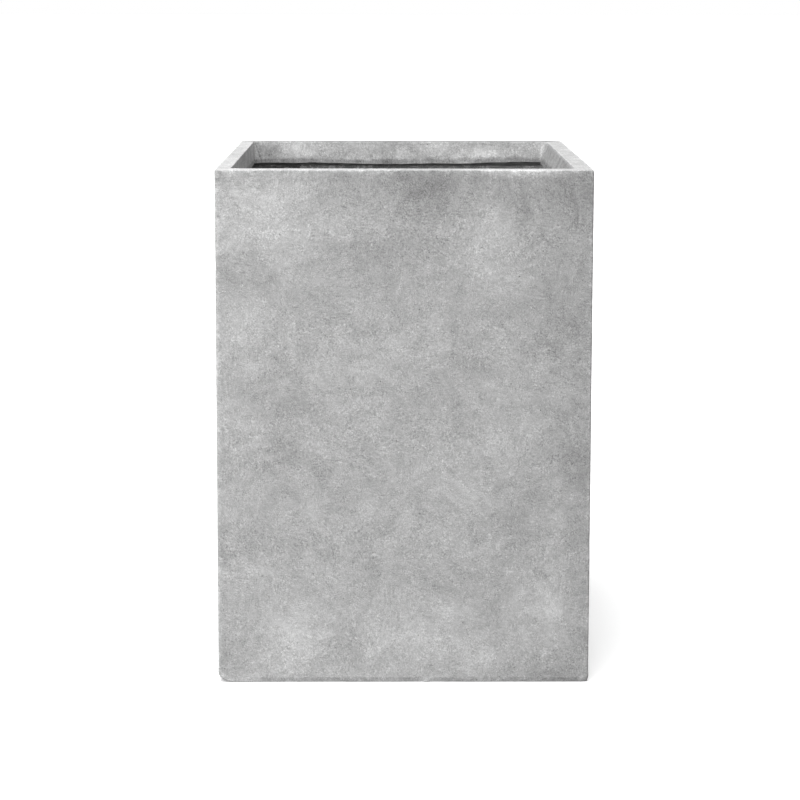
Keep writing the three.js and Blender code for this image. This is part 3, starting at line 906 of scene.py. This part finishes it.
    # Sparse air holes, darkened with painted shade in their pits
    cells = g.node(
        "ShaderNodeTexVoronoi", {"Vector": g.place, "Scale": 1 / (9 * MM), "Randomness": 1.0}, feature="F1"
    )
    draw = g.node("ShaderNodeSeparateColor", {"Color": cells.outputs["Color"]}).outputs[0]
    chosen = g.remap(draw, 0.86, 0.9)
    hole = g.math("MULTIPLY", g.remap(cells.outputs["Distance"], 0.05, 0.1, 1.0, 0.0), chosen)
    tone = g.math("SUBTRACT", tone, g.math("MULTIPLY", hole, 0.2))
    g.feed(g.shader.inputs["Base Color"], g.grey(tone))
    g.feed(g.shader.inputs["Roughness"], g.remap(mottle, 0.3, 0.7, 0.8, 0.93, eased=False))
    g.shader.inputs["Specular IOR Level"].default_value = 0.35
    relief_height = g.total(g.math("MULTIPLY", grain, 0.3), g.math("MULTIPLY", speck, 0.35))
    relief_height = g.math("ADD", relief_height, g.math("MULTIPLY", strokes, 0.4))
    relief_height = g.math("ADD", relief_height, g.math("MULTIPLY", curl, 0.1))
    normal = g.bump(relief_height, 0.32)
    normal = g.bump(g.total(mottle, g.math("MULTIPLY", trowel, 0.6)), 0.55, after=normal)
    normal = g.bump(g.math("MULTIPLY", hole, -1.0), 0.9, after=normal)
    g.feed(g.shader.inputs["Normal"], normal)
    return g.material


def laminate_material():
    g = Graph("laminate")
    flat = g.node("ShaderNodeAttribute", attribute_name="lay").outputs["Vector"]
    strands = 0.0
    for k, angle in enumerate((0.15, 0.82, 1.46, 2.2, 2.75)):
        turned = g.node(
            "ShaderNodeVectorRotate", {"Vector": flat, "Angle": angle}, rotation_type="Z_AXIS"
        ).outputs[0]
        bundle = g.noise(1.3, 1.0, 0.5, seed=20 + k, place=turned, stretch=(17, 1, 1))
        line = g.remap(bundle, 0.58, 0.68)
        gate = g.remap(g.noise(26, 1, 0.5, seed=30 + k, place=flat), 0.42, 0.6)
        strands = g.math("MAXIMUM", strands, g.math("MULTIPLY", line, gate))
    pool = g.noise(38, 4, 0.6, seed=40)
    fine = g.noise(2.4, 3, 0.6, seed=41)
    tone = g.total(0.57, g.swing(pool, 0.16), g.swing(fine, 0.08), g.math("MULTIPLY", strands, 0.14))
    # Cement slurry that ran down from the lip, and the strokes it was wiped off with
    height = g.node("ShaderNodeSeparateXYZ", {"Vector": g.place}).outputs["Z"]
    runs = g.noise(7, 3, 0.65, seed=42, stretch=(1, 1, 5))
    high_up = g.remap(height, 0.53, 0.585)
    patchy = g.remap(g.noise(60, 2, 0.5, seed=43), 0.42, 0.6)
    slurry = g.math("MULTIPLY", g.math("MULTIPLY", g.remap(runs, 0.48, 0.64), high_up), patchy)
    wiped = g.remap(g.noise(2.6, 2, 0.6, seed=44, stretch=(8, 8, 1)), 0.48, 0.62)
    wiped = g.math("MULTIPLY", wiped, g.remap(height, 0.56, 0.585))
    # A splash of it, drawn out into loops, is at the back left
    loops = g.math("ABSOLUTE", g.math("SUBTRACT", g.noise(9, 2, 0.6, seed=45, stretch=(2.2, 2.2, 1)), 0.5))
    splash = g.patch(g.place, (-150, 215, 586), (65, 40, 28), 0.36)
    splash = g.math("MULTIPLY", splash, g.remap(loops, 0.01, 0.06, 1.0, 0.0))
    tone = g.total(tone, g.math("MULTIPLY", slurry, 0.18), g.math("MULTIPLY", wiped, 0.15), splash)
    g.feed(g.shader.inputs["Base Color"], g.grey(tone))
    g.feed(g.shader.inputs["Roughness"], g.remap(pool, 0.35, 0.65, 0.38, 0.68, eased=False))
    g.shader.inputs["Specular IOR Level"].default_value = 0.45
    normal = g.bump(strands, 0.45)
    normal = g.bump(g.total(fine, g.math("MULTIPLY", pool, 2.0)), 0.5, after=normal)
    g.feed(g.shader.inputs["Normal"], normal)
    return g.material


def resin_material():
    g = Graph("filled_resin")
    clot = g.noise(16, 4, 0.65, seed=50)
    fine = g.noise(1.8, 3, 0.65, seed=51)
    whisker = g.remap(g.noise(1.1, 0.5, 0.5, seed=52, stretch=(9, 9, 1)), 0.64, 0.7)
    streak = g.remap(g.noise(2.4, 2, 0.6, seed=53, stretch=(8, 8, 1)), 0.5, 0.62)
    tone = g.total(0.5, g.swing(clot, 0.15), g.swing(fine, 0.12))
    tone = g.total(tone, g.math("MULTIPLY", whisker, 0.1), g.math("MULTIPLY", streak, 0.14))
    g.feed(g.shader.inputs["Base Color"], g.grey(tone))
    g.feed(g.shader.inputs["Roughness"], g.remap(clot, 0.35, 0.65, 0.55, 0.85, eased=False))
    g.shader.inputs["Specular IOR Level"].default_value = 0.4
    g.feed(g.shader.inputs["Normal"], g.bump(g.total(fine, clot, whisker), 0.6))
    return g.material


def rubber_material():
    g = Graph("plug_rubber")
    bloom = g.noise(7, 4, 0.6, seed=60)
    fine = g.noise(0.7, 2, 0.6, seed=61)
    facing = g.node("ShaderNodeNewGeometry").outputs["Normal"]
    up = g.node("ShaderNodeSeparateXYZ", {"Vector": facing}).outputs["Z"]
    dust = g.math("MULTIPLY", g.remap(up, 0.5, 1.0), g.remap(bloom, 0.42, 0.68))
    tone = g.total(0.11, g.swing(bloom, 0.05), g.swing(fine, 0.02), g.math("MULTIPLY", dust, 0.12))
    g.feed(g.shader.inputs["Base Color"], g.grey(tone))
    g.feed(g.shader.inputs["Roughness"], g.remap(bloom, 0.35, 0.65, 0.42, 0.66, eased=False))
    g.shader.inputs["Specular IOR Level"].default_value = 0.4
    g.feed(g.shader.inputs["Normal"], g.bump(g.total(fine, bloom), 0.08))
    return g.material


# ---------------------------------------------------------------- stage


def build_stage():
    """Plain pale floor. The camera sees it white, and the planter's shadow stays on it."""
    mesh = bpy.data.meshes.new("floor")
    reach = 60
    corners = [(-reach, -reach, 0), (reach, -reach, 0), (reach, reach, 0), (-reach, reach, 0)]
    mesh.from_pydata(corners, [], [(0, 1, 2, 3)])
    floor = bpy.data.objects.new("floor", mesh)
    bpy.context.scene.collection.objects.link(floor)
    g = Graph("floor")
    path = g.node("ShaderNodeLightPath").outputs
    seen = g.math("MAXIMUM", path["Is Glossy Ray"], path["Is Transmission Ray"])
    seen = g.math("MAXIMUM", path["Is Camera Ray"], seen)
    shade = g.remap(seen, 0, 1, 0.17, 1.0, eased=False)
    shade = g.node("ShaderNodeCombineColor", {"Red": shade, "Green": shade, "Blue": shade}).outputs[0]
    g.feed(g.shader.inputs["Base Color"], shade)
    g.shader.inputs["Emission Color"].default_value = (1, 1, 1, 1)
    g.feed(g.shader.inputs["Emission Strength"], g.math("MULTIPLY", path["Is Camera Ray"], 0.12))
    g.shader.inputs["Roughness"].default_value = 1.0
    g.shader.inputs["Specular IOR Level"].default_value = 0.0
    mesh.materials.append(g.material)


def build_light():
    """A high soft key, a soft lamp at front left, and a white surround."""
    sun = bpy.data.lights.new("key", "SUN")
    sun.energy = 2.3
    sun.angle = math.radians(34)
    key = bpy.data.objects.new("key", sun)
    key.rotation_euler = Vector((-0.09, -0.25, 0.961)).to_track_quat("Z", "Y").to_euler()
    lamp = bpy.data.lights.new("side", "AREA")
    lamp.shape = "DISK"
    lamp.size = 0.9
    lamp.energy = 20
    side = bpy.data.objects.new("side", lamp)
    side.location = (-1.5, -1.75, 1.0)
    side.rotation_euler = (side.location - Vector((0, -0.1, 0.4))).to_track_quat("Z", "Y").to_euler()
    for made in (key, side):
        bpy.context.scene.collection.objects.link(made)
    world = bpy.data.worlds.new("surround")
    world.use_nodes = True
    bpy.context.scene.world = world
    nodes, links = world.node_tree.nodes, world.node_tree.links
    sky = nodes["Background"]
    sky.inputs["Color"].default_value = (1, 1, 1, 1)
    direction = nodes.new("ShaderNodeSeparateXYZ")
    links.new(nodes.new("ShaderNodeTexCoord").outputs["Generated"], direction.inputs[0])
    around = nodes.new("ShaderNodeMapRange")  # brighter on the left
    for socket, value in (("From Min", -1.0), ("From Max", 1.0), ("To Min", 0.84), ("To Max", 0.54)):
        around.inputs[socket].default_value = value
    links.new(direction.outputs["X"], around.inputs["Value"])
    strength = nodes.new("ShaderNodeMapRange")
    links.new(nodes.new("ShaderNodeLightPath").outputs["Is Camera Ray"], strength.inputs["Value"])
    links.new(around.outputs[0], strength.inputs["To Min"])
    strength.inputs["To Max"].default_value = 1.0
    links.new(strength.outputs[0], sky.inputs["Strength"])


def build_camera():
    """The photograph's viewpoint, fitted to the planter's rim and foot corners."""
    lens = bpy.data.cameras.new("camera")
    lens.sensor_width = 36
    lens.lens = 86.35
    camera = bpy.data.objects.new("camera", lens)
    camera.location = Vector((-20.4, -2433.0, 823.1)) * MM
    camera.rotation_euler = [math.radians(angle) for angle in (90 - 12.077, -0.095, -0.386)]
    bpy.context.scene.collection.objects.link(camera)
    bpy.context.scene.camera = camera


# ---------------------------------------------------------------- assembly


def dress(made, body, material):
    made.data.materials.append(material)
    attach(made, body)


build_camera()
build_light()
build_stage()

dress(build_coat(), "planter", coat_material())

laminate = laminate_material()
for name, node, turn, cross, seed in [
    ("back_laminate", "back_wall", 0.0, True, 1),
    ("left_laminate", "left_wall", math.pi / 2, False, 2),
    ("front_laminate", "front_wall", math.pi, True, 3),
    ("right_laminate", "right_wall", -math.pi / 2, False, 4),
]:
    dress(build_wall(name, node, turn, cross, seed), "planter", laminate)
for name, node, corner, seed in [
    ("mat_front_right", "corner_strip_front_right", FRONT_RIGHT, 1),
    ("mat_back_right", "corner_strip_back_right", BACK_RIGHT, 2),
    ("mat_back_left", "corner_strip_back_left", BACK_LEFT, 3),
    ("mat_front_left", "corner_strip_front_left", FRONT_LEFT, 4),
]:
    dress(build_strip(name, node, corner, seed), "planter", laminate)
dress(build_floor_panel(), "planter", laminate)

resin = resin_material()
dress(build_core(), "planter", resin)
dress(build_cove(), "planter", resin)
dress(build_plug(), "plug", rubber_material())

bpy.context.scene.view_settings.view_transform = "Standard"
